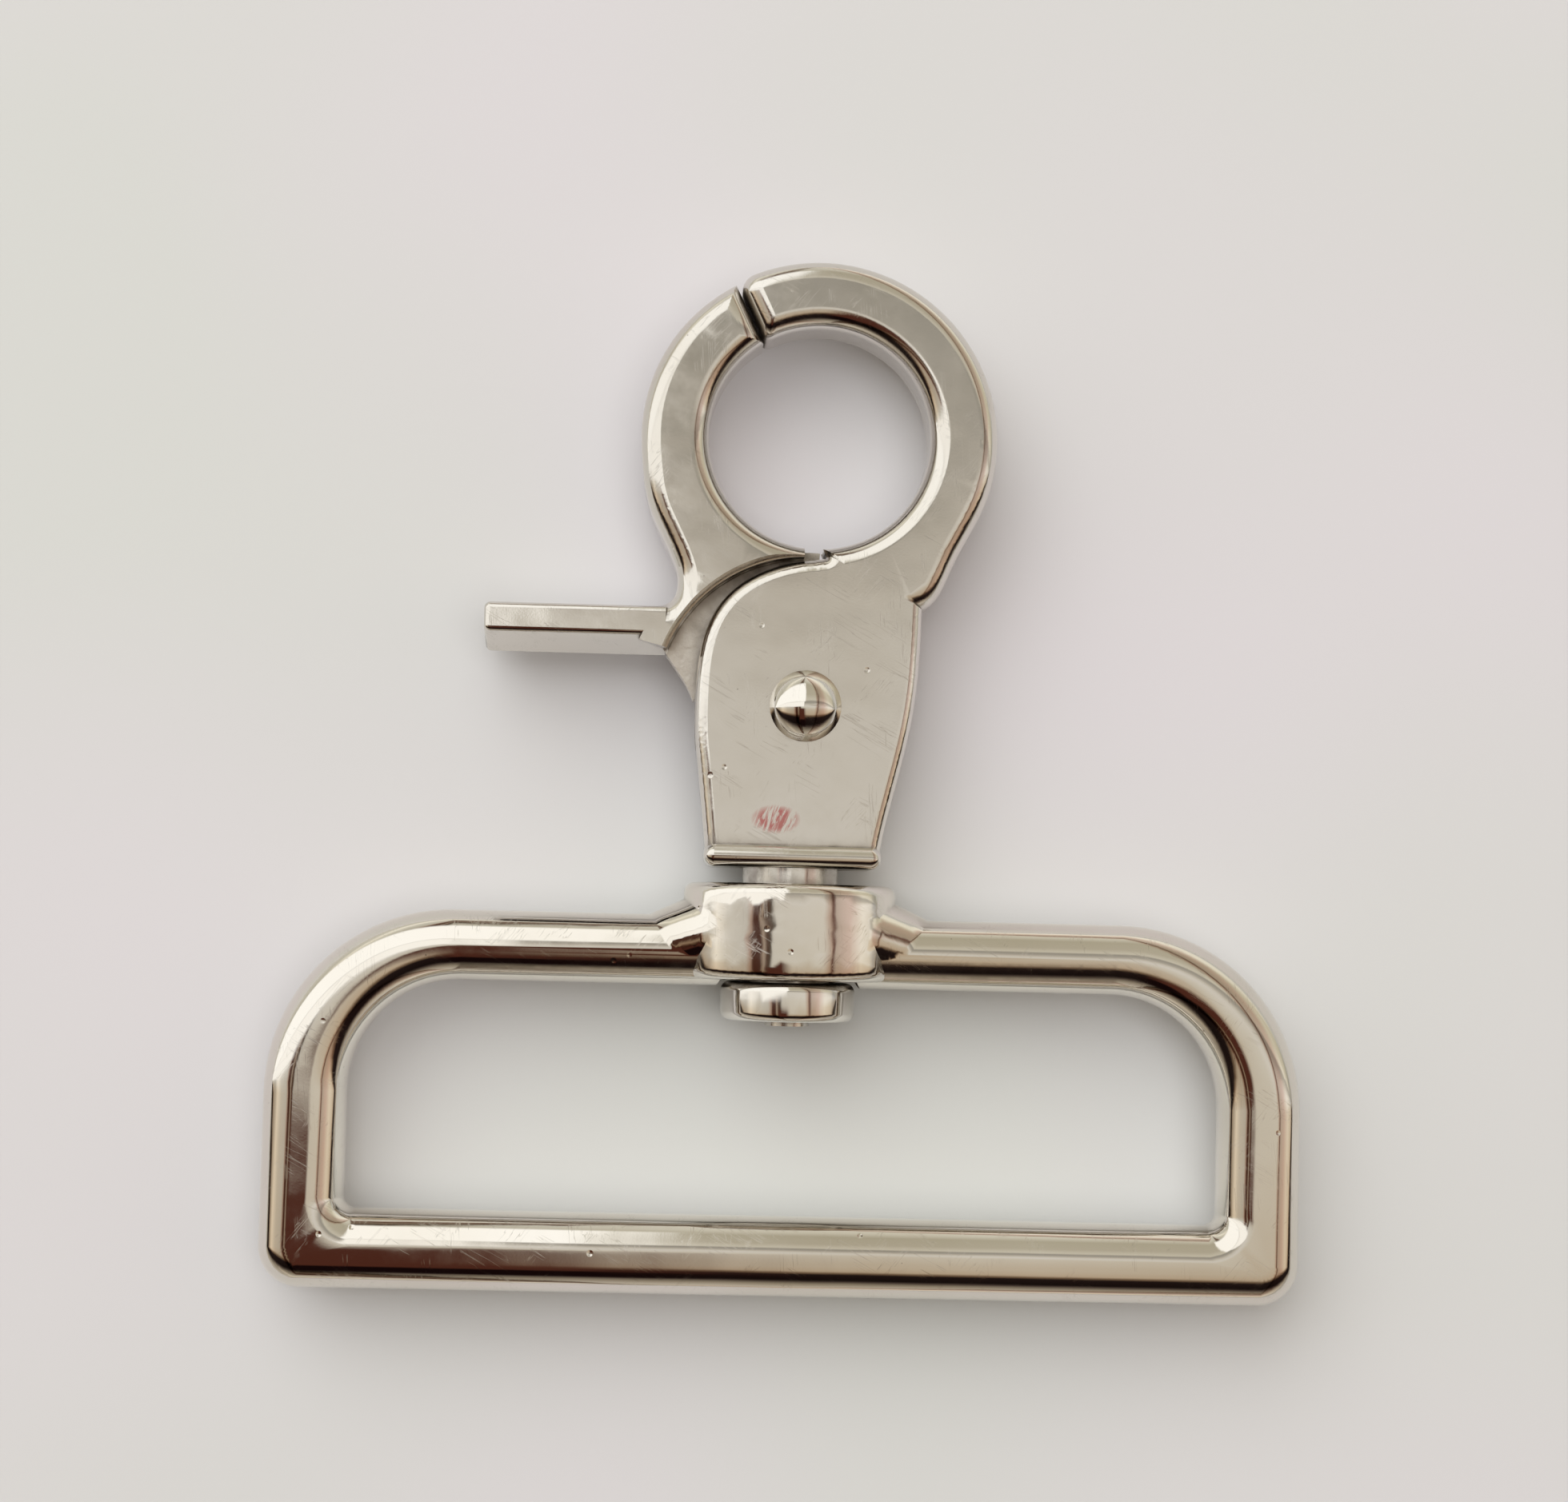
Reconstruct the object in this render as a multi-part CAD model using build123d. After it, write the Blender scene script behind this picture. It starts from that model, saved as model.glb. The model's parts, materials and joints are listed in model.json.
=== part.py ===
from build123d import *
from math import cos, degrees, hypot, radians, sin, sqrt
import os

os.makedirs("parts", exist_ok=True)

# ---- driving dimensions, mm ----
# strap loop
STRAP_WIDTH = 50.0          # clear inner width of the loop
STRAP_GAP = 13.1            # clear inner height of the loop
LEG_WIDTH = 4.7
TOP_BAR = 4.0
BOTTOM_BAR = 4.5
LOOP_THICK = 4.4
BAR_EDGE_R = 1.95
LOOP_SHOULDER_R = 10.6      # outer radius of the two upper corners
LOOP_CORNER_R = 2.4         # outer radius of the two lower corners
BAR_AXIS_DROP = 1.0         # top bar centre line below the boss centre
# swivel boss on the loop
BOSS_WIDTH = 12.2
BOSS_THICK = 8.4
BOSS_LENGTH = 5.5
# swivel pin
PIN_R = 2.75
PIN_RUNNING_CLEARANCE = 0.05
BUTTON_R = 3.85
BUTTON_LENGTH = 2.2
NUB_R = 1.25
NUB_LENGTH = 0.3
TENON_R = 1.6
TENON_LENGTH = 3.2
END_FLOAT = 0.12            # gap between button and boss
FLANGE_GAP = 0.9            # gap between boss and flange
# hook body
FLANGE_WIDTH = 10.1
FLANGE_LENGTH = 1.25
FLANGE_THICK = 6.4
BODY_THICK = 4.8
RING_X = 1.05               # ring centre, sideways from the swivel axis
RING_OUT_R = 10.3
RING_IN_R = 6.4
RING_EDGE_R = 1.15          # rounded edges of hook arm and jaw
PLATE_EDGE_R = 0.75
CRESCENT_EDGE_R = 0.3
PIVOT_X = 0.55
PIVOT_RISE = 8.0            # pivot above the flange
ROOT_WALL = 0.55            # jaw metal between the eye and the tang's arc, at its thinnest
TIP_GAP = 0.12              # between hook tip and jaw end when closed
# lever
SLOT_WIDTH = 2.0
TANG_THICK = 1.8
LEVER_IN_R = 8.6            # inner arc of the thick part, about the pivot
HUB_R = 3.9
LEVER_TRAVEL = 24.0         # degrees
TAB_END_X = -17.9
TAB_RISE = 5.6              # tab's top edge above the pivot
TAB_DEPTH = 2.7
TAB_FACE = 1.55             # width of the tab's flat face
# pivot rivet and spring
RIVET_R = 1.25
RIVET_CLEARANCE = 0.05
DOME_R = 2.05
DOME_RISE = 1.15
TAIL_R = 2.0
TAIL_RISE = 0.6
SPRING_WIRE_R = 0.17
SPRING_R = 2.1
SPRING_TURNS = 2
SPRING_PITCH = 0.36
SPRING_POCKET_R = 2.75
SPRING_POCKET_DEPTH = 1.15

HALF = BODY_THICK / 2
BOSS_TOP_Y = BOSS_LENGTH / 2 + 0.15
BOSS_LOW_Y = BOSS_TOP_Y - BOSS_LENGTH
FLANGE_Y = BOSS_TOP_Y + FLANGE_GAP
PIVOT_Y = FLANGE_Y + FLANGE_LENGTH + PIVOT_RISE
RING_Y = PIVOT_Y + LEVER_IN_R + RING_IN_R + ROOT_WALL     # ring centre
CHEEK = LEVER_IN_R / 8.6                                  # cheek outline follows the lever's inner arc
TAB_TOP_Y = PIVOT_Y + TAB_RISE
TAB_LOW_Y = TAB_TOP_Y - TAB_DEPTH
TIP_ANGLE = 119.0
TANG_LEFT = 177.3
LOOP_TOP_Y = TOP_BAR / 2 - BAR_AXIS_DROP
SLOT_TOP_Y = LOOP_TOP_Y - TOP_BAR
SLOT_LOW_Y = SLOT_TOP_Y - STRAP_GAP
LOOP_LOW_Y = SLOT_LOW_Y - BOTTOM_BAR
ORIGIN_SHIFT = (0, -(RING_Y + RING_OUT_R + LOOP_LOW_Y) / 2, BOSS_THICK / 2)


def slab(sketch, low, high):
    return extrude(Plane.XY.offset(low) * sketch, high - low)


def polar(centre, radius, angle):
    return (centre[0] + radius * cos(radians(angle)), centre[1] + radius * sin(radians(angle)))


def soften(edges, radius, wall=100.0):
    """Round the edges, by no more than just under half the wall they bound."""
    return fillet(edges, min(radius, wall * 0.49))


def rim_edges(solid, level):
    return [e for e in solid.edges() if abs(e.center().Z - level) < 1e-4
            and abs(e.bounding_box().min.Z - level) < 1e-4]


def y_cylinder(radius, low, high):
    return Pos(0, low, 0) * Rot(-90, 0, 0) * Cylinder(
        radius, high - low, align=(Align.CENTER, Align.CENTER, Align.MIN))


def cheek(x, y):
    return (PIVOT_X + x * CHEEK, PIVOT_Y + y * CHEEK)


def outer_corner():
    """Where the cheek's right side meets the hook arm."""
    return cheek(6.6, 5.75)


# ---- hook body: cheeks, flange and the fixed hook arm in one casting ----
def body_outline():
    ring = (RING_X, RING_Y)
    half_base = FLANGE_WIDTH / 2 - 0.1
    base = FLANGE_Y + FLANGE_LENGTH * 0.5
    corner = outer_corner()
    join = polar(ring, RING_OUT_R, -14)
    bulge = polar(ring, RING_OUT_R + 0.42, -43.5)
    tip_outer = polar(ring, RING_OUT_R, TIP_ANGLE)
    tip_inner = polar(ring, RING_IN_R, TIP_ANGLE + 2)
    root = polar(ring, RING_IN_R, -87)
    mid = 16.0
    path = [
        Line((-half_base, base), (half_base, base)),
        Spline([(half_base, base), (PIVOT_X + 5.2 * CHEEK, PIVOT_Y - 0.61 * PIVOT_RISE),
                (PIVOT_X + 6.1 * CHEEK, PIVOT_Y - 0.11 * PIVOT_RISE), corner],
               tangents=[(0.15, 1), (0.02, 1)]),
        Spline([corner, bulge, join],
               tangents=[(1.0, 0.45), (sin(radians(14)), cos(radians(14)))]),
        ThreePointArc(join, polar(ring, RING_OUT_R, 52), tip_outer),
        Line(tip_outer, tip_inner),
        ThreePointArc(tip_inner, polar(ring, RING_IN_R, mid), root),
        Spline([root, (root[0] + 0.2, root[1] - 0.55), cheek(0.35, 8.45)],
               tangents=[(0.35, -1), (-1, -0.25)]),
        Spline([cheek(0.35, 8.45), cheek(-2.5, 7.75), cheek(-4.3, 6.6), cheek(-5.5, 5.0), cheek(-6.1, 3.0),
                cheek(-6.3, -0.3), (-half_base, base)], tangents=[(-1, -0.08), (0.1, -1)]),
    ]
    return make_face(Wire(path))


def tip_corners(solid):
    ring = (RING_X, RING_Y)
    upright = [e for e in solid.edges() if abs(e.bounding_box().size.Z - BODY_THICK) < 1e-3]
    outer = polar(ring, RING_OUT_R, TIP_ANGLE)
    inner = polar(ring, RING_IN_R, TIP_ANGLE + 2)
    pick = lambda p: [e for e in upright if hypot(e.center().X - p[0], e.center().Y - p[1]) < 0.3]
    solid = soften(pick(outer), 1.0)
    upright = [e for e in solid.edges() if abs(e.bounding_box().size.Z - BODY_THICK) < 1e-3]
    return soften(pick(inner), 0.5)


def lever_slot():
    centre = (PIVOT_X, PIVOT_Y)
    start, end, reach = 84.4, TANG_LEFT + LEVER_TRAVEL + 1.0, LEVER_IN_R + 5.4
    wedge = make_face(Wire([
        Line(centre, polar(centre, reach, start)),
        ThreePointArc(polar(centre, reach, start), polar(centre, reach, (start + end) / 2),
                      polar(centre, reach, end)),
        Line(polar(centre, reach, end), centre)]))
    pocket = wedge + Pos(*centre) * Circle(HUB_R + 0.35)
    return slab(pocket, -SLOT_WIDTH / 2, SLOT_WIDTH / 2)


def rounded_slab(solid, radius):
    for level in (HALF, -HALF):
        solid = soften(rim_edges(solid, level), radius, BODY_THICK)
    return solid


def ring_side():
    """Region above a line from the root notch to the outer corner: the part with large edges."""
    notch = (RING_X + 0.35, RING_Y - RING_IN_R - 0.3)
    corner = outer_corner()
    far = 60
    region = Polyline((-far, notch[1]), notch, corner, (far, corner[1]),
                      (far, far * 2), (-far, far * 2), close=True)
    return slab(make_face(region), -BODY_THICK, BODY_THICK)


def make_hook_body():
    blank = tip_corners(slab(body_outline(), -HALF, HALF))
    upper = ring_side()
    body = (rounded_slab(blank, RING_EDGE_R) & upper) + (rounded_slab(blank, PLATE_EDGE_R) - upper)
    flange = Pos(0, FLANGE_Y + FLANGE_LENGTH / 2, 0) * Box(FLANGE_WIDTH, FLANGE_LENGTH, FLANGE_THICK)
    flange = soften(flange.edges(), 0.6, FLANGE_LENGTH)
    body = body + flange
    body = body - lever_slot()
    body = body - y_cylinder(TENON_R, FLANGE_Y - 1, FLANGE_Y + TENON_LENGTH)
    return body - Pos(PIVOT_X, PIVOT_Y, 0) * Cylinder(RIVET_R, BODY_THICK + 2)


# ---- lever: jaw, thumb tab and tang in one casting ----
def jaw_outline():
    """Jaw silhouette, run on under the tang where the cheeks' clearance is cut afterwards."""
    ring = (RING_X, RING_Y)
    gap = degrees(TIP_GAP / RING_OUT_R)
    end_outer = polar(ring, RING_OUT_R - 0.15, TIP_ANGLE + gap)
    end_inner = polar(ring, RING_IN_R, TIP_ANGLE + 2 + gap * RING_OUT_R / RING_IN_R)
    side = polar(ring, RING_OUT_R, 184)
    waist = (RING_X - 8.05, RING_Y - 7.9)
    heel = (PIVOT_X - LEVER_IN_R, TAB_TOP_Y)
    root = polar(ring, RING_IN_R, -86)
    far = heel[0] - 5
    return make_face(Wire([
        Line(end_outer, end_inner), ThreePointArc(end_inner, polar(ring, RING_IN_R, 190), root),
        Line(root, (root[0], PIVOT_Y)), Line((root[0], PIVOT_Y), (far, PIVOT_Y)),
        Line((far, PIVOT_Y), (far, heel[1] - 0.3)), Line((far, heel[1] - 0.3), heel),
        Spline([heel, (heel[0] + 1.05, heel[1] + 0.85), waist], tangents=[(1, 0.08), (-0.12, 1)]),
        Spline([waist, (RING_X - 9.75, RING_Y - 4.1), side], tangents=[(-0.35, 1), (-0.07, 1)]),
        ThreePointArc(side, polar(ring, RING_OUT_R - 0.05, 150), end_outer),
    ]))


def cheek_clearance():
    """What the jaw gives up to the cheeks: a disc about the pivot with flared rims, and the corners."""
    pivot = (PIVOT_X, PIVOT_Y)
    flare = CRESCENT_EDGE_R
    profile = make_face(Polyline(
        (0, -HALF - 1), (LEVER_IN_R + flare + 1, -HALF - 1), (LEVER_IN_R, -HALF + flare),
        (LEVER_IN_R, HALF - flare), (LEVER_IN_R + flare + 1, HALF + 1), (0, HALF + 1), close=True))
    disc = Pos(PIVOT_X, PIVOT_Y, 0) * revolve(Plane.XZ * profile, Axis.Z)
    low = polar(pivot, LEVER_IN_R, 158.5)
    heel = (PIVOT_X - LEVER_IN_R, TAB_TOP_Y)
    foot = (low[0] - 1.6, low[1] + 0.4)
    region = Polyline((PIVOT_X, PIVOT_Y - 2), low, foot, heel,
                      (heel[0] - 9, heel[1]), (heel[0] - 9, PIVOT_Y - 2), close=True)
    corner = slab(make_face(region), -BODY_THICK, BODY_THICK)
    nose_x = polar(pivot, LEVER_IN_R, 91.6)[0]
    right = Pos(nose_x, PIVOT_Y - 2, 0) * Box(
        8, LEVER_IN_R + 4, BODY_THICK * 2, align=(Align.MIN, Align.MIN, Align.CENTER))
    return disc, corner, right


def make_tab():
    face_low = TAB_TOP_Y - 0.15 - TAB_FACE
    section = Plane.YZ * make_face(Polyline(
        (TAB_TOP_Y, 0), (TAB_TOP_Y - 0.1, HALF), (face_low, HALF), (TAB_LOW_Y, 0),
        (face_low, -HALF), (TAB_TOP_Y - 0.1, -HALF), close=True))
    length = PIVOT_X - LEVER_IN_R + 0.5 - TAB_END_X
    tab = Pos(TAB_END_X, 0, 0) * extrude(section, length, dir=(1, 0, 0))
    end = [e for e in tab.edges() if abs(e.center().X - TAB_END_X) < 1e-3 or
           (abs(e.center().Z) > HALF - 0.01 and e.length > 3)]
    return soften(end, 0.35, TAB_FACE)


def make_tang():
    pivot = (PIVOT_X, PIVOT_Y)
    right, reach = 85.6, LEVER_IN_R + ROOT_WALL * 0.7
    wedge = make_face(Wire([
        Line(pivot, polar(pivot, reach, right)),
        ThreePointArc(polar(pivot, reach, right), polar(pivot, reach, 125), polar(pivot, reach, 158)),
        Spline([polar(pivot, reach, 158), polar(pivot, LEVER_IN_R * 0.88, 165.5),
                polar(pivot, LEVER_IN_R * 0.75, TANG_LEFT)], tangents=[(0.6, -1), (0.35, -1)]),
        Line(polar(pivot, LEVER_IN_R * 0.75, TANG_LEFT), pivot)]))
    web = wedge + Pos(*pivot) * Circle(HUB_R)
    return slab(web, -TANG_THICK / 2, TANG_THICK / 2)


def make_lever():
    jaw = rounded_slab(slab(jaw_outline(), -HALF, HALF), RING_EDGE_R)
    for cut in cheek_clearance():
        jaw = jaw - cut
    lever = jaw + make_tab() + make_tang()
    lever = lever - Pos(PIVOT_X, PIVOT_Y, 0) * Cylinder(RIVET_R + RIVET_CLEARANCE, BODY_THICK)
    pocket = Pos(PIVOT_X, PIVOT_Y, TANG_THICK / 2 - SPRING_POCKET_DEPTH) * Cylinder(
        SPRING_POCKET_R, BODY_THICK, align=(Align.CENTER, Align.CENTER, Align.MIN))
    leg = Pos(PIVOT_X, PIVOT_Y + SPRING_R + 0.5, TANG_THICK / 2 - SPRING_POCKET_DEPTH) * Box(
        HUB_R + 1, SPRING_R + 1.6, BODY_THICK, align=(Align.MIN, Align.MAX, Align.MIN))
    catch = Pos(PIVOT_X, PIVOT_Y + SPRING_R, TANG_THICK / 2 - SPRING_POCKET_DEPTH) * Box(
        HUB_R + 0.4, 0.8, BODY_THICK, align=(Align.MAX, Align.CENTER, Align.MIN))
    inside = slab(Pos(PIVOT_X, PIVOT_Y) * Circle(HUB_R + 2), -TANG_THICK / 2, TANG_THICK / 2)
    return lever - (pocket & inside) - (leg & inside) - (catch & inside)


# ---- pivot rivet: domed head, shank, upset tail ----
def make_rivet():
    radius = (DOME_R ** 2 + DOME_RISE ** 2) / (2 * DOME_RISE)
    ball = Pos(0, 0, HALF + DOME_RISE - radius) * Sphere(radius)
    dome = ball & Pos(0, 0, HALF) * Cylinder(DOME_R + 1, 5, align=(Align.CENTER, Align.CENTER, Align.MIN))
    tail = Pos(0, 0, -HALF - TAIL_RISE) * Cylinder(
        TAIL_R, TAIL_RISE, align=(Align.CENTER, Align.CENTER, Align.MIN))
    tail = soften([tail.edges().sort_by(Axis.Z)[0]], 0.35, TAIL_RISE * 2)
    shank = Cylinder(RIVET_R, BODY_THICK)
    return Pos(PIVOT_X, PIVOT_Y, 0) * (dome + shank + tail)


# ---- hidden return spring, coiled round the rivet ----
def make_spring():
    base = TANG_THICK / 2 - SPRING_POCKET_DEPTH + SPRING_WIRE_R + 0.05
    coil = Pos(PIVOT_X, PIVOT_Y, base) * Rot(0, 0, 90) * Helix(
        SPRING_PITCH, SPRING_TURNS * SPRING_PITCH, SPRING_R)
    wire = sweep(Plane(origin=coil @ 0, z_dir=coil % 0) * Circle(SPRING_WIRE_R), path=coil)
    reach = sqrt((HUB_R + 0.35) ** 2 - (SPRING_R + SPRING_WIRE_R) ** 2) - 0.1
    body_leg = Pos(*(coil @ 0)) * Rot(0, 90, 0) * Cylinder(
        SPRING_WIRE_R, reach, align=(Align.CENTER, Align.CENTER, Align.MIN))
    tang_leg = Pos(*(coil @ 1)) * Rot(0, -90, 0) * Cylinder(
        SPRING_WIRE_R, reach * 0.85, align=(Align.CENTER, Align.CENTER, Align.MIN))
    return wire + body_leg + tang_leg


# ---- swivel pin: button, shank through the boss, tenon into the body ----
def make_swivel_pin():
    top = BOSS_LOW_Y - END_FLOAT
    button = y_cylinder(BUTTON_R, top - BUTTON_LENGTH, top)
    button = soften(button.edges().filter_by(GeomType.CIRCLE), 0.5, BUTTON_LENGTH)
    nub = y_cylinder(NUB_R, top - BUTTON_LENGTH - NUB_LENGTH, top - BUTTON_LENGTH + 0.2)
    shank = y_cylinder(PIN_R, top - 0.2, FLANGE_Y)
    tenon = y_cylinder(TENON_R, FLANGE_Y - 0.2, FLANGE_Y + TENON_LENGTH)
    return button + nub + shank + tenon


# ---- strap loop: D-shaped bar with the swivel boss ----
def loop_profile(half_width, top, low, shoulder, corner):
    return make_face(Wire([
        Line((-half_width + shoulder, top), (half_width - shoulder, top)),
        ThreePointArc((half_width - shoulder, top),
                      polar((half_width - shoulder, top - shoulder), shoulder, 45),
                      (half_width, top - shoulder)),
        Line((half_width, top - shoulder), (half_width, low + corner)),
        ThreePointArc((half_width, low + corner), polar((half_width - corner, low + corner), corner, -45),
                      (half_width - corner, low)),
        Line((half_width - corner, low), (-half_width + corner, low)),
        ThreePointArc((-half_width + corner, low), polar((-half_width + corner, low + corner), corner, 225),
                      (-half_width, low + corner)),
        Line((-half_width, low + corner), (-half_width, top - shoulder)),
        ThreePointArc((-half_width, top - shoulder),
                      polar((-half_width + shoulder, top - shoulder), shoulder, 135),
                      (-half_width + shoulder, top)),
    ]))


def make_strap_loop():
    inner_half = STRAP_WIDTH / 2
    outer = loop_profile(inner_half + LEG_WIDTH, LOOP_TOP_Y, LOOP_LOW_Y, LOOP_SHOULDER_R, LOOP_CORNER_R)
    inner = loop_profile(inner_half, SLOT_TOP_Y, SLOT_LOW_Y, LOOP_SHOULDER_R - 4.2, 0.7)
    loop = slab(outer - inner, -LOOP_THICK / 2, LOOP_THICK / 2)
    for level in (LOOP_THICK / 2, -LOOP_THICK / 2):
        loop = soften(rim_edges(loop, level), BAR_EDGE_R, min(TOP_BAR, LEG_WIDTH, BOTTOM_BAR, LOOP_THICK))
    boss_mid = (BOSS_TOP_Y + BOSS_LOW_Y) / 2
    section = Plane.XZ * Ellipse(BOSS_WIDTH / 2, BOSS_THICK / 2)
    boss = Pos(0, BOSS_TOP_Y, 0) * extrude(section, BOSS_LENGTH)
    boss = soften(boss.edges().filter_by(lambda e: e.length > BOSS_WIDTH), 0.6)
    loop = loop + boss
    bar_y = LOOP_TOP_Y - TOP_BAR / 2
    for side in (1, -1):
        wide = Plane(origin=(side * (BOSS_WIDTH / 2 - 1.6), boss_mid, 0), z_dir=(side, 0, 0))
        slim = Plane(origin=(side * (BOSS_WIDTH / 2 + 2.2), bar_y, 0), z_dir=(side, 0, 0))
        loop = loop + loft([wide * Ellipse(2.75, 2.5), slim * Ellipse(1.9, 1.9)])
    loop = loop - y_cylinder(BUTTON_R + 0.3, BOSS_LOW_Y - BUTTON_LENGTH - 1, BOSS_LOW_Y)
    return loop - y_cylinder(PIN_R + PIN_RUNNING_CLEARANCE, BOSS_LOW_Y - 1, BOSS_TOP_Y + 1)


def save(solid, node):
    export_step(Pos(*ORIGIN_SHIFT) * solid, "parts/%s.step" % node)
    print(node, "solids", len(solid.solids()), "volume", round(solid.volume, 1))


save(make_hook_body(), "hook_body")
save(make_lever(), "lever")
save(make_rivet(), "pivot_rivet")
save(make_spring(), "lever_spring")
save(make_swivel_pin(), "swivel_pin")
save(make_strap_loop(), "strap_loop")
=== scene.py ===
import bpy, json, math
from mathutils import Matrix, Vector

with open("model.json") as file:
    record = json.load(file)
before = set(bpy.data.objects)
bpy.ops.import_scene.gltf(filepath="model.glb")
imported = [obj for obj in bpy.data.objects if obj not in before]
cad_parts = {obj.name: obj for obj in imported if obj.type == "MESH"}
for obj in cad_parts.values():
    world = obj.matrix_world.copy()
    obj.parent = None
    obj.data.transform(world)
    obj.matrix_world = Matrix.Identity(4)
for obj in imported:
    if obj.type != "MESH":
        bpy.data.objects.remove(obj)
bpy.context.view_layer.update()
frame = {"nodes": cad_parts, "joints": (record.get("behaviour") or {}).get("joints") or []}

nodes = frame["nodes"]
scene = bpy.context.scene
mm = 0.001      # metres

joints = {joint["name"]: joint for joint in frame["joints"]}
pivot = Vector(joints["lever_pivot"]["pos_m"])


# millimetres, and degrees of roll
cameraValues = {"place": (-6.7, -8.45, 168.2), "lookAt": (-0.53, 1.44, 4.2), "turn": 1.4,
                "lens": 65.3, "sensor": 36}


def makeCamera(v):
    camera = bpy.data.objects.new("camera", bpy.data.cameras.new("camera"))
    scene.collection.objects.link(camera)
    camera.data.sensor_fit = "HORIZONTAL"
    camera.data.sensor_width = v["sensor"]
    camera.data.lens = v["lens"]
    camera.data.clip_start = 0.01
    stand, target = Vector(v["place"]) * mm, Vector(v["lookAt"]) * mm
    back = (stand - target).normalized()
    turn = math.radians(v["turn"])
    upward = Vector((-math.sin(turn), math.cos(turn), 0))
    right = upward.cross(back).normalized()
    upward = back.cross(right)
    matrix = Matrix((right, upward, back)).transposed().to_4x4()
    matrix.translation = stand
    camera.matrix_world = matrix
    scene.camera = camera


makeCamera(cameraValues)
print("camera placed")


def setInput(tree, node, name, value):
    socket = node.inputs[name]
    if isinstance(value, bpy.types.NodeSocket):
        tree.links.new(value, socket)
    else:
        socket.default_value = value


def calc(tree, operation, *values, clamp=False):
    node = tree.nodes.new("ShaderNodeMath")
    node.operation = operation
    node.use_clamp = clamp
    for i, value in enumerate(values):
        setInput(tree, node, i, value)
    return node.outputs[0]


def vecCalc(tree, operation, *values):
    node = tree.nodes.new("ShaderNodeVectorMath")
    node.operation = operation
    for i, value in enumerate(values):
        if operation == "SCALE" and i == 1:
            setInput(tree, node, "Scale", value)
        else:
            setInput(tree, node, i, value)
    return node.outputs["Value"] if operation == "LENGTH" else node.outputs[0]


def noise(tree, place, scale, detail=2.0, rough=0.5, distort=0.0):
    node = tree.nodes.new("ShaderNodeTexNoise")
    setInput(tree, node, "Vector", place)
    settings = {"Scale": scale, "Detail": detail, "Roughness": rough, "Distortion": distort}
    for name, value in settings.items():
        setInput(tree, node, name, value)
    return node.outputs["Fac"]


def mapRange(tree, value, low, high, toLow=0.0, toHigh=1.0, smooth=False):
    node = tree.nodes.new("ShaderNodeMapRange")
    node.interpolation_type = "SMOOTHSTEP" if smooth else "LINEAR"
    ends = (("From Min", low), ("From Max", high), ("To Min", toLow), ("To Max", toHigh))
    for name, end in (("Value", value),) + ends:
        setInput(tree, node, name, end)
    return node.outputs[0]


def mixColour(tree, fac, a, b):
    node = tree.nodes.new("ShaderNodeMix")
    node.data_type = "RGBA"
    # the colour sockets of a Mix node are its inputs 6 and 7 and its output 2
    for i, value in ((0, fac), (6, a), (7, b)):
        setInput(tree, node, i, value)
    return node.outputs[2]


def millimetres(tree):
    coords = tree.nodes.new("ShaderNodeTexCoord")
    return vecCalc(tree, "SCALE", coords.outputs["Object"], 1 / mm)


# what bright metal mirrors: stops of angle in degrees from straight up and colour.
# "along" runs towards the hook's end, "across" towards the right
roomValues = {
    "alongBands": [(-100, (0.64, 0.58, 0.50)), (-88, (0.62, 0.56, 0.47)), (-72, (0.34, 0.29, 0.22)),
                   (-60, (0.07, 0.05, 0.04)), (-54, (0.010, 0.006, 0.005)), (-34, (0.016, 0.009, 0.008)),
                   (-28, (0.20, 0.13, 0.08)), (-22, (0.54, 0.43, 0.31)), (-8, (0.60, 0.52, 0.41)),
                   (-2, (0.70, 0.655, 0.57)), (1.5, (0.76, 0.725, 0.67)), (4, (0.715, 0.68, 0.62)),
                   (6.5, (0.64, 0.60, 0.53)), (8.5, (0.52, 0.485, 0.425)), (11, (0.43, 0.405, 0.355)),
                   (15, (0.36, 0.34, 0.295)), (19, (0.68, 0.64, 0.54)), (32, (0.53, 0.49, 0.39)),
                   (58, (0.50, 0.465, 0.36)), (72, (0.70, 0.67, 0.57)), (90, (0.80, 0.77, 0.68)),
                   (100, (0.68, 0.65, 0.55))],
    "acrossBands": [(-100, 0.95), (-76, 0.85), (-66, 1.45), (-52, 1.0), (-34, 0.85),
                    (-29.5, (0.62, 0.46, 0.40)),
                    (-27, (0.12, 0.05, 0.035)), (-22, (0.11, 0.05, 0.04)), (-19.5, (0.60, 0.50, 0.43)),
                    (-17, (0.14, 0.08, 0.06)), (-14, (0.12, 0.09, 0.07)), (-11.5, 0.95), (0, 1.0),
                    (28, 1.05),
                    (33, (0.78, 0.62, 0.55)), (35.5, (0.14, 0.04, 0.03)), (38.5, (0.8, 0.70, 0.66)),
                    (52, (1.05, 0.88, 0.86)), (66, 1.4), (78, 1.25), (84, (0.8, 0.83, 0.9)), (100, 0.9)],
    # left of centre: a bright window, its sill, and a dark red curtain with a black gap under it
    "shapes": [
        {"along": (15, 18, 60, 66), "across": (-100, -99, -2.2, 0.6), "colour": (1.27, 1.26, 1.22)},
        {"along": (0.5, 3, 15, 18), "across": (-100, -99, -4.2, -2.7), "colour": (1.20, 1.18, 1.13)},
        {"along": (-50, -40, -5, -2.5), "across": (-19, -15, -4, 3), "colour": (0.085, 0.026, 0.016)},
        {"along": (-62, -57, -42, -37), "across": (-19, -15, -2, 6), "colour": (0.008, 0.003, 0.003)},
    ],
}


def toPart(angle):
    # the bands run from -100 to 100 degrees
    return (angle + 100) / 200


def within(tree, part, edges):
    # 1 between the two inner angles, fading to 0 at the outer ones
    low, lowFull, highFull, high = (toPart(angle) for angle in edges)
    return calc(tree, "MULTIPLY", mapRange(tree, part, low, lowFull), mapRange(tree, part, high, highFull))


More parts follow.
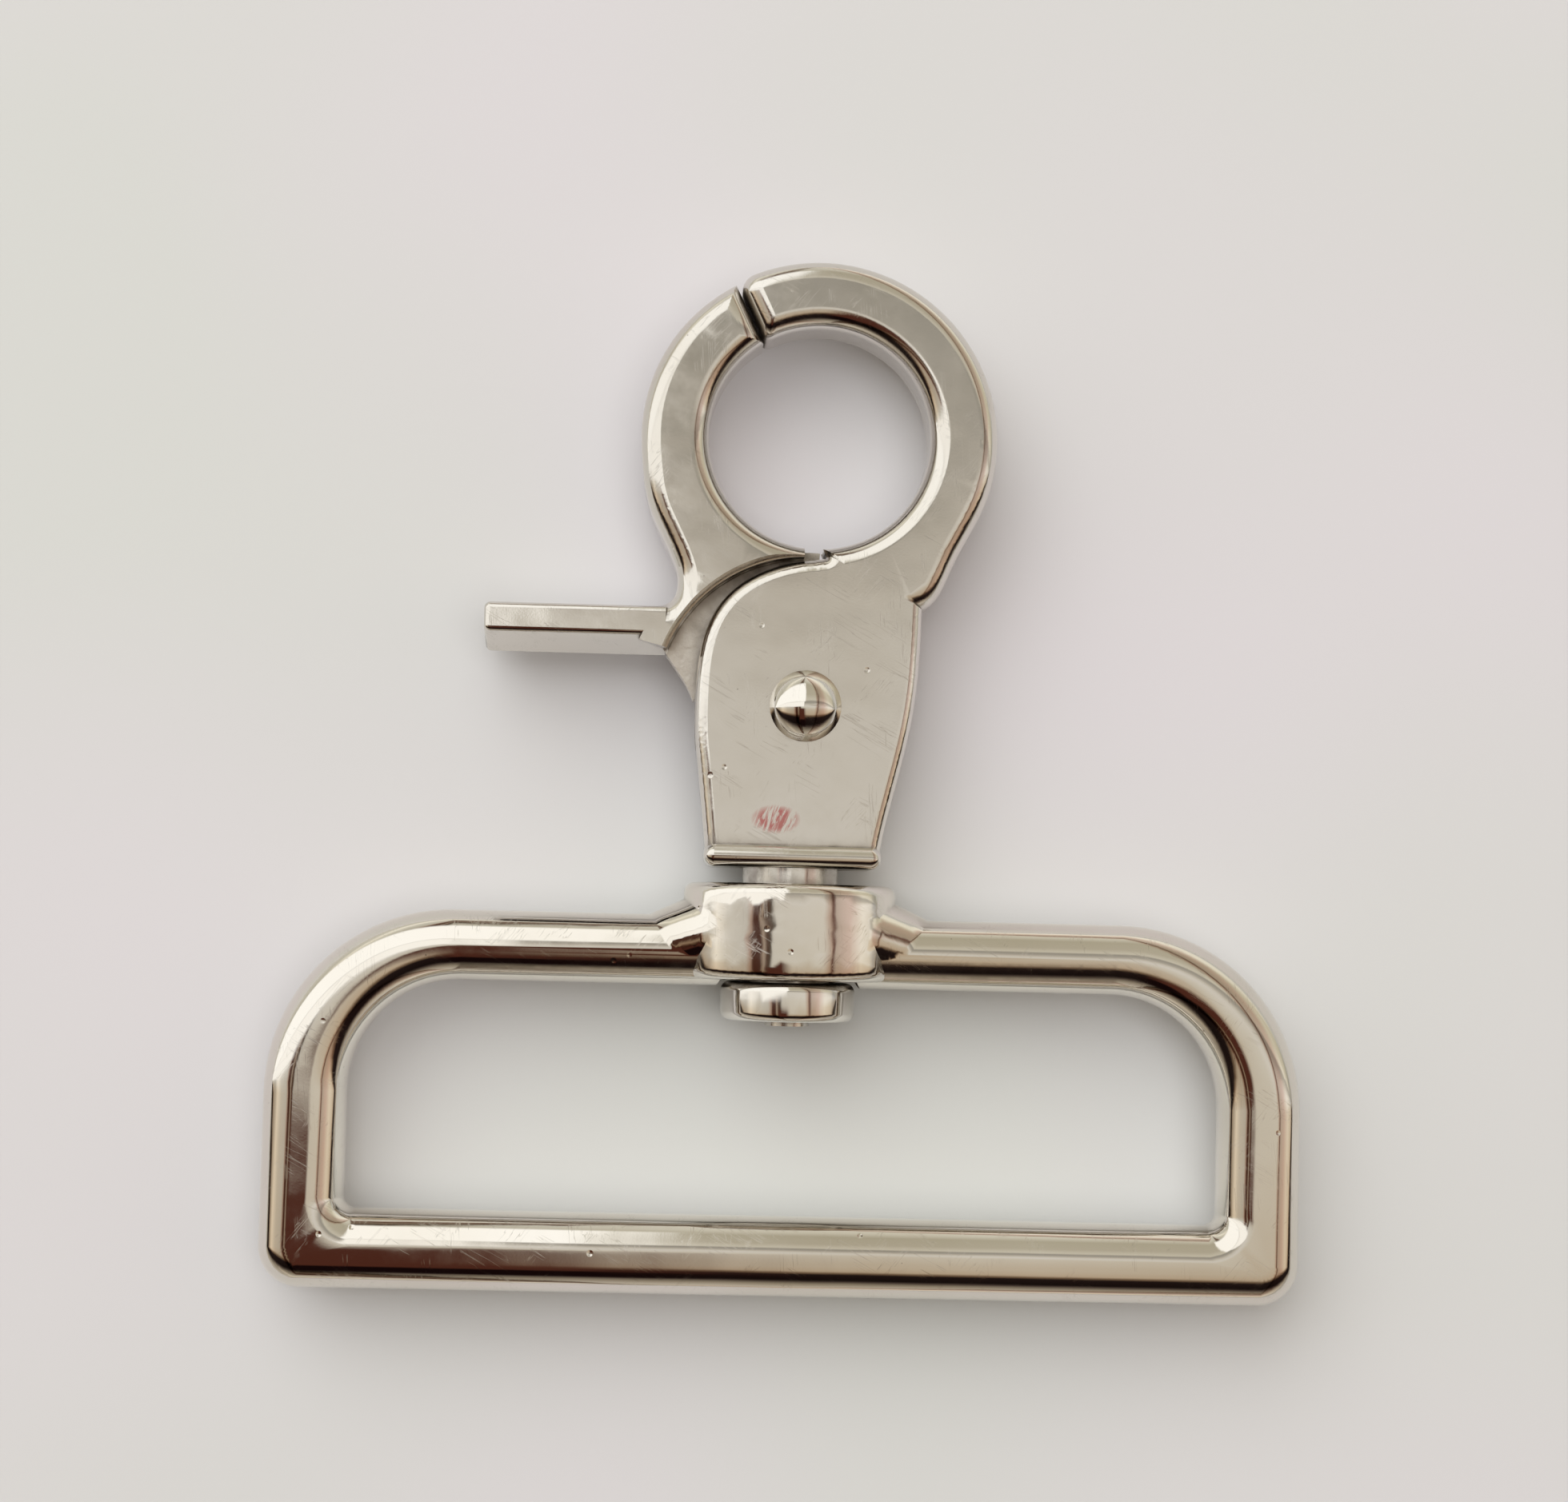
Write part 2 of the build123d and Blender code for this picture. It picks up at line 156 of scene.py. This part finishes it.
def ramp(tree, value, stops):
    node = tree.nodes.new("ShaderNodeValToRGB")
    elements = node.color_ramp.elements
    elements.remove(elements[1])
    elements[0].position = 0.0
    # stored at half strength, because a stop can't be brighter than 1
    for i, (angle, colour) in enumerate(stops):
        stop = elements[0] if i == 0 else elements.new(toPart(angle))
        rgb = colour if isinstance(colour, tuple) else (colour,) * 3
        stop.color = tuple(channel / 2 for channel in rgb) + (1,)
    setInput(tree, node, "Fac", value)
    return vecCalc(tree, "SCALE", node.outputs["Color"], 2.0)


def makeRoom(v):
    world = bpy.data.worlds.new("room")
    scene.world = world
    world.use_nodes = True
    tree = world.node_tree
    tree.nodes.clear()
    coords = tree.nodes.new("ShaderNodeTexCoord")
    split = tree.nodes.new("ShaderNodeSeparateXYZ")
    tree.links.new(coords.outputs["Generated"], split.inputs[0])
    x, y, z = split.outputs
    up = calc(tree, "MAXIMUM", z, 0.02)
    toDegrees = 180 / math.pi
    along = mapRange(tree, calc(tree, "MULTIPLY", calc(tree, "ARCTAN2", y, up), toDegrees), -100, 100)
    across = mapRange(tree, calc(tree, "MULTIPLY", calc(tree, "ARCTAN2", x, up), toDegrees), -100, 100)
    alongColour = ramp(tree, along, v["alongBands"])
    acrossColour = ramp(tree, across, v["acrossBands"])
    colour = vecCalc(tree, "MULTIPLY", alongColour, acrossColour)
    for shape in v["shapes"]:
        covered = calc(tree, "MULTIPLY", within(tree, along, shape["along"]),
                       within(tree, across, shape["across"]))
        colour = mixColour(tree, covered, colour, shape["colour"] + (1,))
    background = tree.nodes.new("ShaderNodeBackground")
    tree.links.new(colour, background.inputs["Color"])
    output = tree.nodes.new("ShaderNodeOutputWorld")
    tree.links.new(background.outputs[0], output.inputs["Surface"])


makeRoom(roomValues)


paperValues = {"size": 3.0, "rough": 0.85, "driftScale": 0.02,
               "colour": (0.680, 0.660, 0.690), "tone": (0.645, 0.660, 0.645)}


def makePaper(v):
    mesh = bpy.data.meshes.new("paper")
    half = v["size"] / 2
    corners = [(-half, -half, 0), (half, -half, 0), (half, half, 0), (-half, half, 0)]
    mesh.from_pydata(corners, [], [(0, 1, 2, 3)])
    paper = bpy.data.objects.new("paper", mesh)
    scene.collection.objects.link(paper)
    material = bpy.data.materials.new("paper")
    material.use_nodes = True
    tree = material.node_tree
    shader = tree.nodes["Principled BSDF"]
    drift = mapRange(tree, noise(tree, millimetres(tree), v["driftScale"], 1.0), 0.35, 0.65)
    shader.inputs["Roughness"].default_value = v["rough"]
    colour = mixColour(tree, drift, v["colour"] + (1,), v["tone"] + (1,))
    tree.links.new(colour, shader.inputs["Base Color"])
    paper.data.materials.append(material)


makePaper(paperValues)


lampValues = [
    {"name": "windowLight", "at": (-0.20, 0.38, 0.60), "size": 0.85, "watts": 2.75,
     "colour": (0.985, 0.99, 1.0)},
    {"name": "ceilingLight", "at": (0.1, -0.05, 0.9), "size": 0.6, "watts": 2.0,
     "colour": (0.985, 0.99, 1.0)},
]


def makeLamps(lamps):
    for v in lamps:
        data = bpy.data.lights.new(v["name"], "AREA")
        data.shape = "DISK"
        data.size = v["size"]
        data.energy = v["watts"]
        data.color = v["colour"]
        lamp = bpy.data.objects.new(v["name"], data)
        scene.collection.objects.link(lamp)
        lamp.location = v["at"]
        lamp.rotation_euler = (Vector((0, 0, 0)) - Vector(v["at"])).to_track_quat("-Z", "Y").to_euler()
        lamp.visible_glossy = False
        lamp.visible_camera = False


makeLamps(lampValues)
print("room, paper and lamps ready")


def newGroup(name, inputs, outputs):
    group = bpy.data.node_groups.new(name, "ShaderNodeTree")
    for label, kind, value in inputs:
        socket = group.interface.new_socket(name=label, in_out="INPUT", socket_type=kind)
        if value is not None:
            socket.default_value = value
    for label, kind in outputs:
        group.interface.new_socket(name=label, in_out="OUTPUT", socket_type=kind)
    return group, group.nodes.new("NodeGroupInput"), group.nodes.new("NodeGroupOutput")


def makeCastWave():
    group, given, out = newGroup(
        "castWave",
        [("Place", "NodeSocketVector", None), ("Wave Size", "NodeSocketFloat", 0.3),
         ("Wave Depth", "NodeSocketFloat", 0.004), ("Pit Depth", "NodeSocketFloat", 0.001),
         ("Grain Depth", "NodeSocketFloat", 0.0002)],
        [("Height", "NodeSocketFloat")])
    place = given.outputs["Place"]
    wave = noise(group, place, given.outputs["Wave Size"], 1.5, 0.45)
    pitCell = group.nodes.new("ShaderNodeTexVoronoi")
    setInput(group, pitCell, "Vector", place)
    setInput(group, pitCell, "Scale", 0.55)
    pit = mapRange(group, pitCell.outputs["Distance"], 0.03, 0.11, 1.0, 0.0, smooth=True)
    pit = calc(group, "MULTIPLY", pit, mapRange(group, noise(group, place, 0.21), 0.52, 0.6))
    grain = noise(group, place, 9.0, 2.0)
    height = calc(group, "MULTIPLY", wave, given.outputs["Wave Depth"])
    height = calc(group, "SUBTRACT", height, calc(group, "MULTIPLY", pit, given.outputs["Pit Depth"]))
    height = calc(group, "ADD", height, calc(group, "MULTIPLY", grain, given.outputs["Grain Depth"]))
    setInput(group, out, "Height", height)
    return group


def makeFineScratches():
    group, given, out = newGroup(
        "fineScratches",
        [("Place", "NodeSocketVector", None), ("Amount", "NodeSocketFloat", 0.5),
         ("Seed", "NodeSocketFloat", 0.0)],
        [("Mask", "NodeSocketFloat")])
    total = None
    # three directions: angle in radians, stretch along the line, how rare
    for angle, stretch, rare in ((0.5, 0.10, 0.60), (-0.9, 0.16, 0.63), (1.5, 0.07, 0.62)):
        turned = group.nodes.new("ShaderNodeVectorRotate")
        turned.rotation_type = "Z_AXIS"
        setInput(group, turned, "Vector", given.outputs["Place"])
        setInput(group, turned, "Angle", angle)
        shift = vecCalc(group, "SCALE", (1.0, 1.7, 0.4), given.outputs["Seed"])
        shifted = vecCalc(group, "ADD", turned.outputs[0], shift)
        long = vecCalc(group, "MULTIPLY", shifted, (stretch, 2.4, 0.6))
        line = noise(group, long, 1.0, 3.0, 0.6, 0.25)
        near = calc(group, "ABSOLUTE", calc(group, "SUBTRACT", line, 0.5))
        thin = mapRange(group, near, 0.0, 0.009, 1.0, 0.0)
        some = mapRange(group, noise(group, shifted, 0.45, 1.0), rare - 0.04, rare)
        one = calc(group, "MULTIPLY", thin, some)
        total = one if total is None else calc(group, "MAXIMUM", total, one)
    setInput(group, out, "Mask", calc(group, "MULTIPLY", total, given.outputs["Amount"], clamp=True))
    return group


# reach of the ambient-occlusion probe that paints shade into crevices
creviceValues = {"samples": 6, "reach": 1.1}


def makePlateTone():
    group, given, out = newGroup(
        "plateTone",
        [("Place", "NodeSocketVector", None), ("Bright", "NodeSocketColor", (0.8, 0.77, 0.72, 1)),
         ("Warm", "NodeSocketColor", (0.7, 0.62, 0.5, 1)),
         ("Dirt", "NodeSocketColor", (0.16, 0.12, 0.08, 1)), ("Haze", "NodeSocketFloat", 0.1),
         ("Gloss", "NodeSocketFloat", 0.08), ("Grime", "NodeSocketFloat", 0.4)],
        [("Colour", "NodeSocketColor"), ("Roughness", "NodeSocketFloat")])
    place = given.outputs["Place"]
    drift = mapRange(group, noise(group, place, 0.11, 2.0), 0.35, 0.7)
    warmth = calc(group, "MULTIPLY", drift, 0.55)
    colour = mixColour(group, warmth, given.outputs["Bright"], given.outputs["Warm"])
    geometry = group.nodes.new("ShaderNodeNewGeometry")
    creviceShade = mapRange(group, geometry.outputs["Pointiness"], 0.485, 0.44)
    # painted shade: hollow edges, and spots where other metal is near, are darkened towards the dark colour, as if
    # shade fell there
    crevice = group.nodes.new("ShaderNodeAmbientOcclusion")
    crevice.samples = creviceValues["samples"]
    crevice.inputs["Distance"].default_value = creviceValues["reach"] * mm
    creviceShade = calc(group, "MAXIMUM", creviceShade, mapRange(group, crevice.outputs["AO"], 0.80, 0.35))
    shadeAndSpecks = calc(group, "MULTIPLY", calc(group, "MULTIPLY", creviceShade, given.outputs["Grime"]),
                 mapRange(group, noise(group, place, 1.1, 3.0), 0.3, 0.6, 0.45, 1.0))
    # real dark specks on the plating
    speck = group.nodes.new("ShaderNodeTexVoronoi")
    setInput(group, speck, "Vector", place)
    setInput(group, speck, "Scale", 0.8)
    dot = mapRange(group, speck.outputs["Distance"], 0.02, 0.05, 1.0, 0.0)
    dot = calc(group, "MULTIPLY", dot, mapRange(group, noise(group, place, 0.37), 0.55, 0.6))
    shadeAndSpecks = calc(group, "MAXIMUM", shadeAndSpecks, calc(group, "MULTIPLY", dot, 0.5), clamp=True)
    # mixes the painted crevice shade and the real dark specks into the colour
    colour = mixColour(group, shadeAndSpecks, colour, given.outputs["Dirt"])
    haze = mapRange(group, noise(group, place, 0.5, 4.0, 0.65), 0.42, 0.72)
    rough = calc(group, "ADD", given.outputs["Gloss"], calc(group, "MULTIPLY", haze, given.outputs["Haze"]))
    rough = calc(group, "ADD", rough, calc(group, "MULTIPLY", shadeAndSpecks, 0.4), clamp=True)
    setInput(group, out, "Colour", colour)
    setInput(group, out, "Roughness", rough)
    return group


castWave = makeCastWave()
fineScratches = makeFineScratches()
plateTone = makePlateTone()
print("shared effects built")


def addGroup(tree, group, **inputs):
    node = tree.nodes.new("ShaderNodeGroup")
    node.node_tree = group
    for name, value in inputs.items():
        setInput(tree, node, name.replace("_", " "), value)
    return node


# what a scratch adds to roughness, takes from the height and darkens
scratchValues = {"rough": 0.25, "depth": 0.0012, "dark": 0.35}


def nickelPlate(name, v, extra=None):
    material = bpy.data.materials.new(name)
    material.use_nodes = True
    tree = material.node_tree
    shader = tree.nodes["Principled BSDF"]
    shader.inputs["Metallic"].default_value = 1.0
    spot = millimetres(tree)
    tone = addGroup(tree, plateTone, Place=spot, Bright=v["bright"] + (1,), Warm=v["warm"] + (1,),
                    Dirt=v["shadeAndDirt"] + (1,), Haze=v["haze"], Gloss=v["gloss"], Grime=v["shadeStrength"])
    wave = addGroup(tree, castWave, Place=spot, Wave_Size=v["waveSize"], Wave_Depth=v["waveDepth"],
                    Pit_Depth=v["pitDepth"], Grain_Depth=v["grainDepth"])
    scratch = addGroup(tree, fineScratches, Place=spot, Amount=v["scratch"], Seed=v["seed"])
    colour, rough, height = tone.outputs["Colour"], tone.outputs["Roughness"], wave.outputs["Height"]
    mask = scratch.outputs["Mask"]
    rough = calc(tree, "ADD", rough, calc(tree, "MULTIPLY", mask, scratchValues["rough"]), clamp=True)
    height = calc(tree, "SUBTRACT", height, calc(tree, "MULTIPLY", mask, scratchValues["depth"]))
    darken = calc(tree, "MULTIPLY", mask, scratchValues["dark"])
    colour = mixColour(tree, darken, colour, v["shadeAndDirt"] + (1,))
    if extra:
        colour, rough, height = extra(tree, spot, colour, rough, height)
    tree.links.new(colour, shader.inputs["Base Color"])
    tree.links.new(rough, shader.inputs["Roughness"])
    bump = tree.nodes.new("ShaderNodeBump")
    bump.inputs["Strength"].default_value = 1.0
    bump.inputs["Distance"].default_value = 0.001
    tree.links.new(height, bump.inputs["Height"])
    tree.links.new(bump.outputs[0], shader.inputs["Normal"])
    return material


# degrees, and metres
smoothValues = {"sharpAngle": 32.0, "join": 1e-6}


def makeSmoothByAngle():
    # sharp corners stay sharp, rounded ones shade as one curve
    group = bpy.data.node_groups.new("smoothByAngle", "GeometryNodeTree")
    group.interface.new_socket(name="Geometry", in_out="INPUT", socket_type="NodeSocketGeometry")
    group.interface.new_socket(name="Geometry", in_out="OUTPUT", socket_type="NodeSocketGeometry")
    given, out = group.nodes.new("NodeGroupInput"), group.nodes.new("NodeGroupOutput")
    angle = group.nodes.new("GeometryNodeInputMeshEdgeAngle")
    gentle = group.nodes.new("FunctionNodeCompare")
    gentle.data_type = "FLOAT"
    gentle.operation = "LESS_THAN"
    group.links.new(angle.outputs["Unsigned Angle"], gentle.inputs[0])
    gentle.inputs[1].default_value = math.radians(smoothValues["sharpAngle"])
    faces = group.nodes.new("GeometryNodeSetShadeSmooth")
    edges = group.nodes.new("GeometryNodeSetShadeSmooth")
    faces.domain, edges.domain = "FACE", "EDGE"
    group.links.new(given.outputs[0], faces.inputs["Geometry"])
    group.links.new(faces.outputs[0], edges.inputs["Geometry"])
    group.links.new(gentle.outputs[0], edges.inputs["Shade Smooth"])
    group.links.new(edges.outputs[0], out.inputs[0])
    return group


smoothByAngle = makeSmoothByAngle()


def dress(node, material):
    piece = nodes[node]
    piece.data.materials.clear()
    piece.data.materials.append(material)
    weld = piece.modifiers.new("joinFaces", "WELD")
    weld.merge_threshold = smoothValues["join"]
    smooth = piece.modifiers.new("smooth", "NODES")
    smooth.node_group = smoothByAngle
    even = piece.modifiers.new("evenNormals", "WEIGHTED_NORMAL")
    even.mode = "FACE_AREA"
    even.weight = 50
    even.keep_sharp = True


def splitZ(tree, vector):
    node = tree.nodes.new("ShaderNodeSeparateXYZ")
    tree.links.new(vector, node.inputs[0])
    return node.outputs[2]


# dirt is the dark colour for painted shade in crevices and for real scratches and specks; grime sets the strength
# of that painted crevice shade
bodyValues = {"bright": (0.74, 0.71, 0.665), "warm": (0.68, 0.64, 0.57), "shadeAndDirt": (0.13, 0.10, 0.07),
              "haze": 0.08, "gloss": 0.09, "shadeStrength": 0.95, "waveSize": 0.30, "waveDepth": 0.030, "pitDepth": 0.014,
              "grainDepth": 0.0010, "scratch": 0.55, "seed": 1.0,
              "stainAt": (-1.0, -2.6), "stainSize": (1.45, 0.85), "stainColour": (0.60, 0.12, 0.13),
              "stainAbove": 6.3, "stainStrength": 0.75}


def redStain(v):
    def paint(tree, spot, colour, rough, height):
        # small hatched red rub on the front cheek
        away = vecCalc(tree, "SUBTRACT", spot, (v["stainAt"][0], v["stainAt"][1], 0))
        away = vecCalc(tree, "MULTIPLY", away, (1 / v["stainSize"][0], 1 / v["stainSize"][1], 0))
        inside = mapRange(tree, vecCalc(tree, "LENGTH", away), 0.6, 1.0, 1.0, 0.0)
        turned = tree.nodes.new("ShaderNodeVectorRotate")
        turned.rotation_type = "Z_AXIS"
        setInput(tree, turned, "Vector", spot)
        setInput(tree, turned, "Angle", 0.35)
        stretched = vecCalc(tree, "MULTIPLY", turned.outputs[0], (5.5, 0.9, 1))
        strokes = noise(tree, stretched, 1.0, 3.0, 0.6, 0.6)
        mask = calc(tree, "MULTIPLY", inside, mapRange(tree, strokes, 0.42, 0.54))
        front = calc(tree, "GREATER_THAN", splitZ(tree, spot), v["stainAbove"])
        mask = calc(tree, "MULTIPLY", mask, front)
        mask = calc(tree, "MULTIPLY", mask, v["stainStrength"], clamp=True)
        colour = mixColour(tree, mask, colour, v["stainColour"] + (1,))
        rough = calc(tree, "ADD", rough, calc(tree, "MULTIPLY", mask, 0.3))
        return colour, rough, height
    return paint


dress("hook_body", nickelPlate("bodyNickel", bodyValues, redStain(bodyValues)))
print("hook body dressed")


leverValues = {"bright": (0.73, 0.70, 0.655), "warm": (0.67, 0.63, 0.56), "shadeAndDirt": (0.13, 0.10, 0.07),
               "haze": 0.10, "gloss": 0.09, "shadeStrength": 0.95, "waveSize": 0.32, "waveDepth": 0.032, "pitDepth": 0.015,
               "grainDepth": 0.0010, "scratch": 0.55, "seed": 4.0, "skinRadius": 8.55, "skinDepth": 0.05,
               "skinRough": 0.32, "skinColour": (0.86, 0.82, 0.77)}


def castSkin(v):
    def paint(tree, spot, colour, rough, height):
        # the tang keeps its raw cast skin
        away = vecCalc(tree, "SUBTRACT", spot, tuple(pivot / mm))
        flat = vecCalc(tree, "LENGTH", vecCalc(tree, "MULTIPLY", away, (1, 1, 0)))
        skin = mapRange(tree, flat, v["skinRadius"] - 0.05, v["skinRadius"], 1.0, 0.0)
        lumps = calc(tree, "MULTIPLY", noise(tree, spot, 1.6, 4.0, 0.6), v["skinDepth"])
        height = calc(tree, "ADD", height, calc(tree, "MULTIPLY", lumps, skin))
        rough = calc(tree, "ADD", rough, calc(tree, "MULTIPLY", skin, v["skinRough"]), clamp=True)
        colour = mixColour(tree, calc(tree, "MULTIPLY", skin, 0.5), colour, v["skinColour"] + (1,))
        return colour, rough, height
    return paint


dress("lever", nickelPlate("leverNickel", leverValues, castSkin(leverValues)))
print("lever dressed")


loopValues = {"bright": (0.78, 0.745, 0.69), "warm": (0.70, 0.655, 0.575), "shadeAndDirt": (0.13, 0.10, 0.07),
              "haze": 0.06, "gloss": 0.05, "shadeStrength": 0.85, "waveSize": 0.20, "waveDepth": 0.034, "pitDepth": 0.016,
              "grainDepth": 0.0003, "scratch": 0.5, "seed": 7.0}
dress("strap_loop", nickelPlate("loopNickel", loopValues))


rivetValues = {"bright": (0.79, 0.76, 0.71), "warm": (0.72, 0.68, 0.61), "shadeAndDirt": (0.13, 0.10, 0.07),
               "haze": 0.05, "gloss": 0.05, "shadeStrength": 0.9, "waveSize": 0.55, "waveDepth": 0.070, "pitDepth": 0.010,
               "grainDepth": 0.0002, "scratch": 0.35, "seed": 11.0}
pinValues = dict(rivetValues, seed=13.0, waveSize=0.35)
springValues = {"bright": (0.42, 0.42, 0.43), "warm": (0.36, 0.34, 0.32), "shadeAndDirt": (0.08, 0.07, 0.06),
                "haze": 0.1, "gloss": 0.25, "shadeStrength": 0.3, "waveSize": 0.8, "waveDepth": 0.004, "pitDepth": 0.001,
                "grainDepth": 0.0006, "scratch": 0.3, "seed": 17.0}
dress("pivot_rivet", nickelPlate("rivetNickel", rivetValues))
dress("swivel_pin", nickelPlate("pinNickel", pinValues))
dress("lever_spring", nickelPlate("springSteel", springValues))
print("loop, rivet, pin and spring dressed")


scene.view_settings.view_transform = "Standard"
